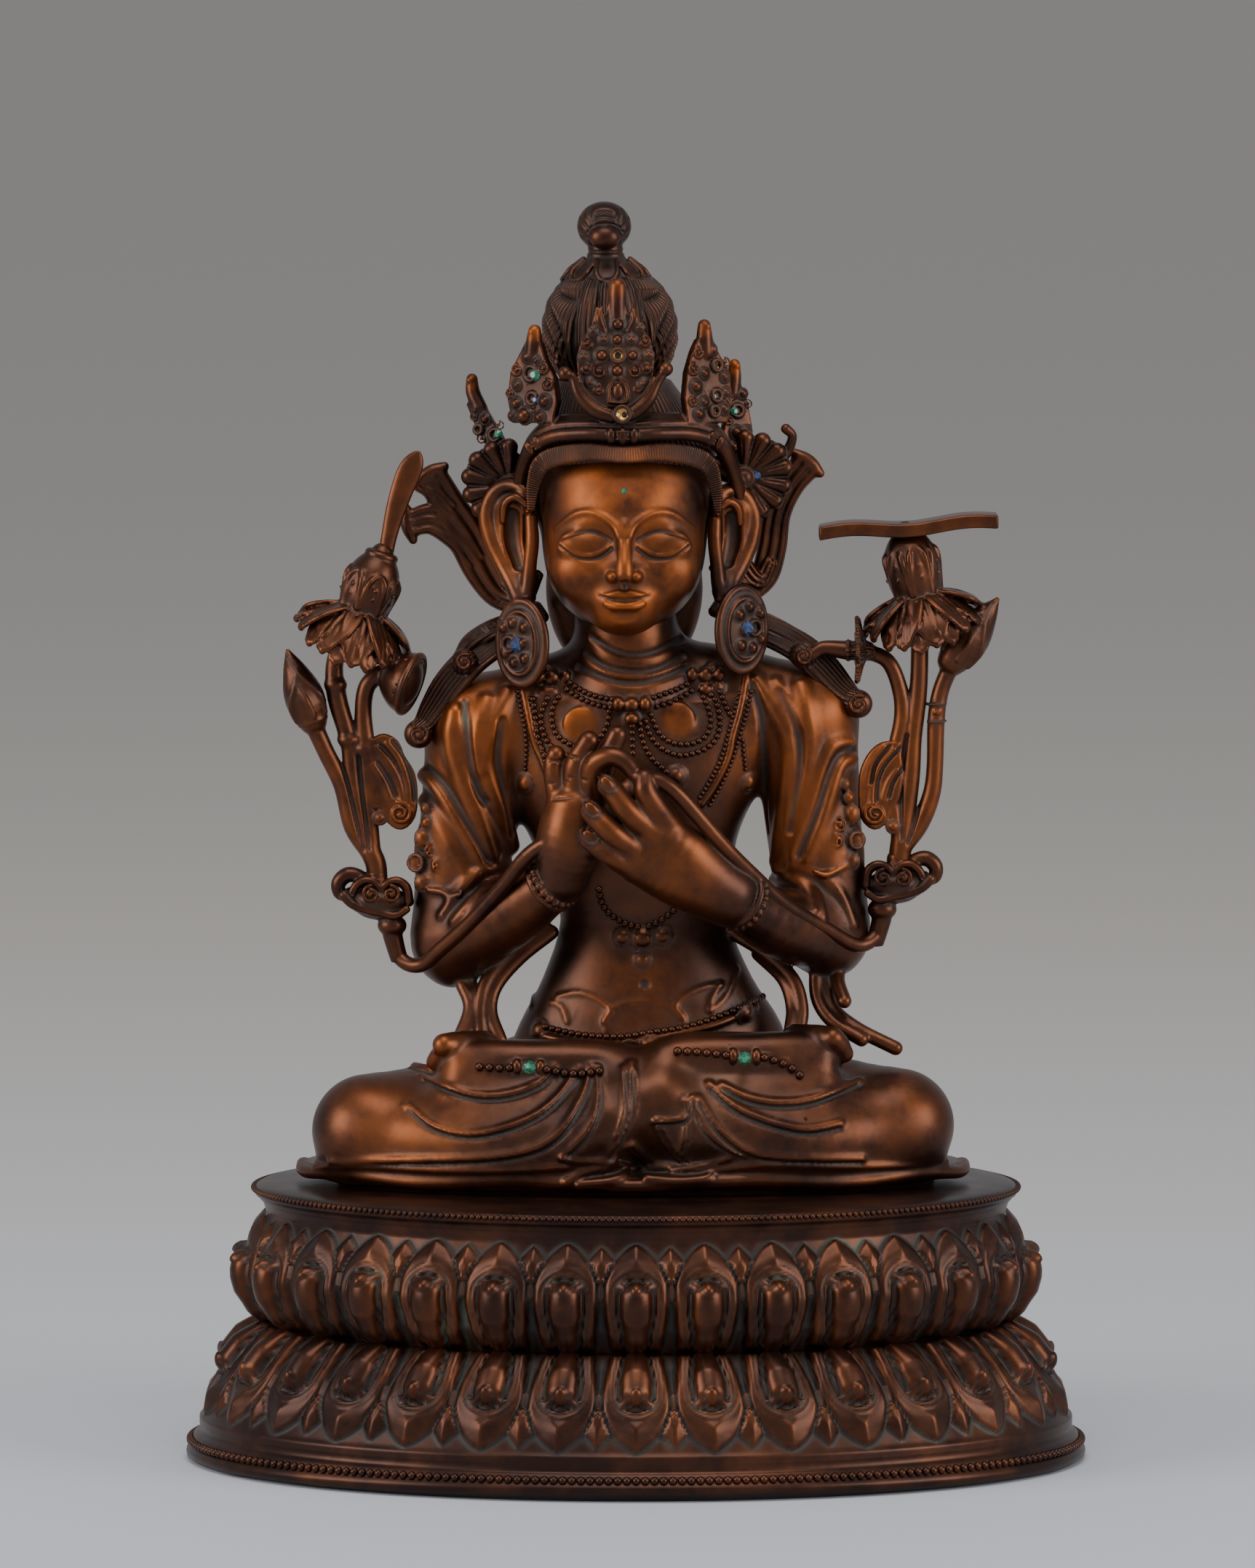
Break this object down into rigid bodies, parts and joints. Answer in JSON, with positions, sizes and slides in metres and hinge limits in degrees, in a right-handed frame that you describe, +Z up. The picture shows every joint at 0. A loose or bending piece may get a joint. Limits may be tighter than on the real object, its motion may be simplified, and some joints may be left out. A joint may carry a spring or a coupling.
{
  "type": "manjushri statue",
  "caption": "Crowned bodhisattva seated cross-legged on a double lotus throne, hands in the teaching gesture, with lotus sprays carrying a sword and a book.",
  "frame": {"origin": "centre of the whole object's bounding box on the surface that it stands on", "axes": "+Z up, the figure faces -Y, +X to the right as seen from the front"},
  "size_m": [0.3104, 0.2176, 0.4333],
  "materials": {
    "throne_copper": "dark brown aged copper alloy, rubbed bright on the petal tips, grime in the hollows",
    "figure_copper": "warm brown aged copper alloy, orange copper where rubbed, grime in the folds",
    "spray_copper": "dark brown aged copper alloy with grey dust in the hollows",
    "green_stone": "polished pale green inset stone",
    "blue_stone": "polished dark blue inset stone"
  },
  "bodies": {
    "root": {"lotus_throne": "throne_copper", "figure": "figure_copper", "lotus_spray_left": "spray_copper", "lotus_spray_right": "spray_copper", "sword": "spray_copper", "book": "spray_copper", "stone_forehead": "green_stone", "stone_left_earring": "blue_stone", "stone_right_earring": "blue_stone", "stone_left_fan": "blue_stone", "stone_right_fan": "blue_stone", "stone_left_front_leaf_upper": "green_stone", "stone_left_front_leaf_lower": "blue_stone", "stone_left_side_leaf": "green_stone", "stone_right_front_leaf": "green_stone", "stone_right_side_leaf": "green_stone", "stone_left_anklet": "green_stone", "stone_right_anklet": "green_stone"}
  },
  "joints": []
}
